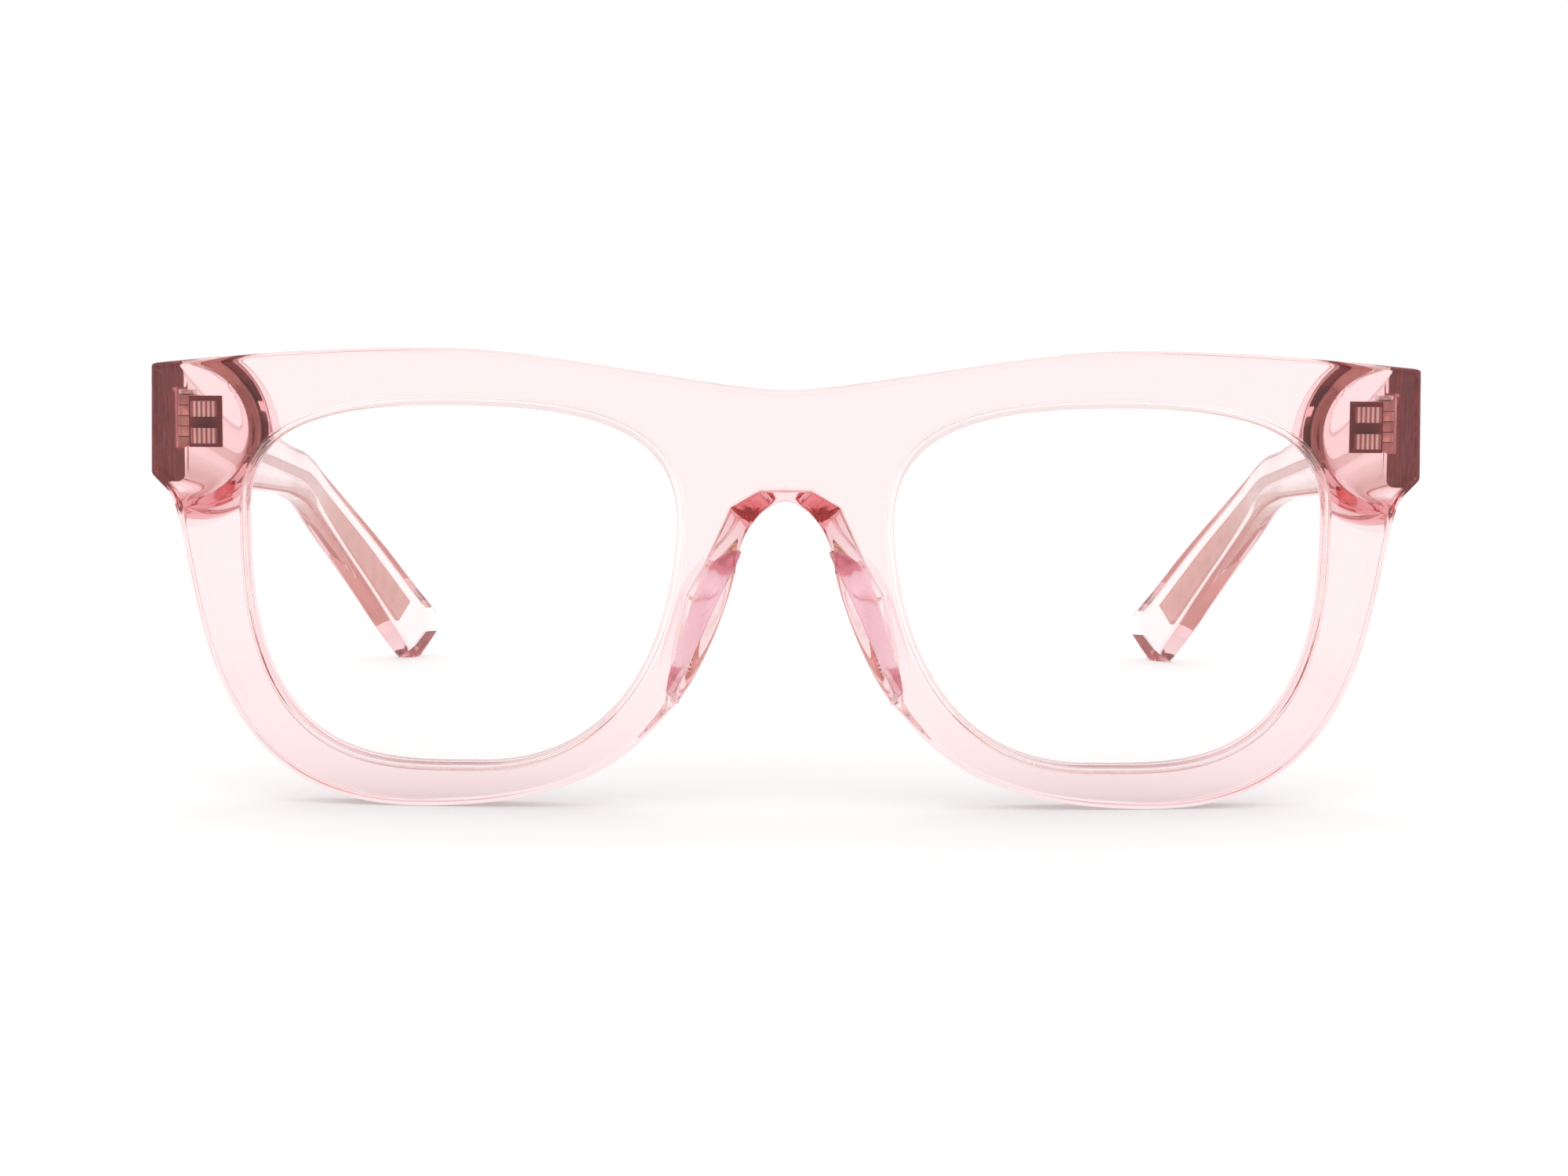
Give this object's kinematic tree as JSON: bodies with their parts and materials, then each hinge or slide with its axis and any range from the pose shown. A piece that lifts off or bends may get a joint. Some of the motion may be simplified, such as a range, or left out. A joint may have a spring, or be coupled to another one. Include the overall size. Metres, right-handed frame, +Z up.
{
  "type": "blue light glasses",
  "caption": "Thick transparent pink acetate glasses with clear blue light lenses and temples that fold inwards on knuckle hinges.",
  "frame": {"origin": "on the surface that the open glasses stand on, under the middle of their box", "axes": "+Z up, -Y the way the wearer looks, so the front of the frame faces -Y and the temples run back along +Y; +X is the wearer's left and a viewer's right"},
  "size_m": [0.1472, 0.138, 0.053],
  "materials": {
    "acetate": "polished transparent pink",
    "nose_pad_acetate": "polished transparent pink, a little deeper",
    "lens": "clear, coated, a faint warm tint",
    "core_wire": "satin flat wire",
    "hinge": "satin nickel silver",
    "screw": "polished"
  },
  "bodies": {
    "front": {"front_frame": "acetate", "lens_left": "lens", "lens_right": "lens", "nose_pad_left": "nose_pad_acetate", "nose_pad_right": "nose_pad_acetate", "hinge_front_leaf_left": "hinge", "hinge_front_leaf_right": "hinge", "hinge_screw_left": "screw", "hinge_screw_right": "screw"},
    "temple_left": {"temple_left": "acetate", "core_wire_left": "core_wire", "hinge_temple_leaf_left": "hinge"},
    "temple_right": {"temple_right": "acetate", "core_wire_right": "core_wire", "hinge_temple_leaf_right": "hinge"}
  },
  "joints": [
    {"name": "fold_left", "type": "hinge", "parent": "front", "child": "temple_left", "pos_m": [-0.0698, -0.05527, 0.043], "axis": [0, 0, -1], "range_deg": [0, 85]},
    {"name": "fold_right", "type": "hinge", "parent": "front", "child": "temple_right", "pos_m": [0.0698, -0.05527, 0.043], "axis": [0, 0, 1], "range_deg": [0, 78]}
  ]
}
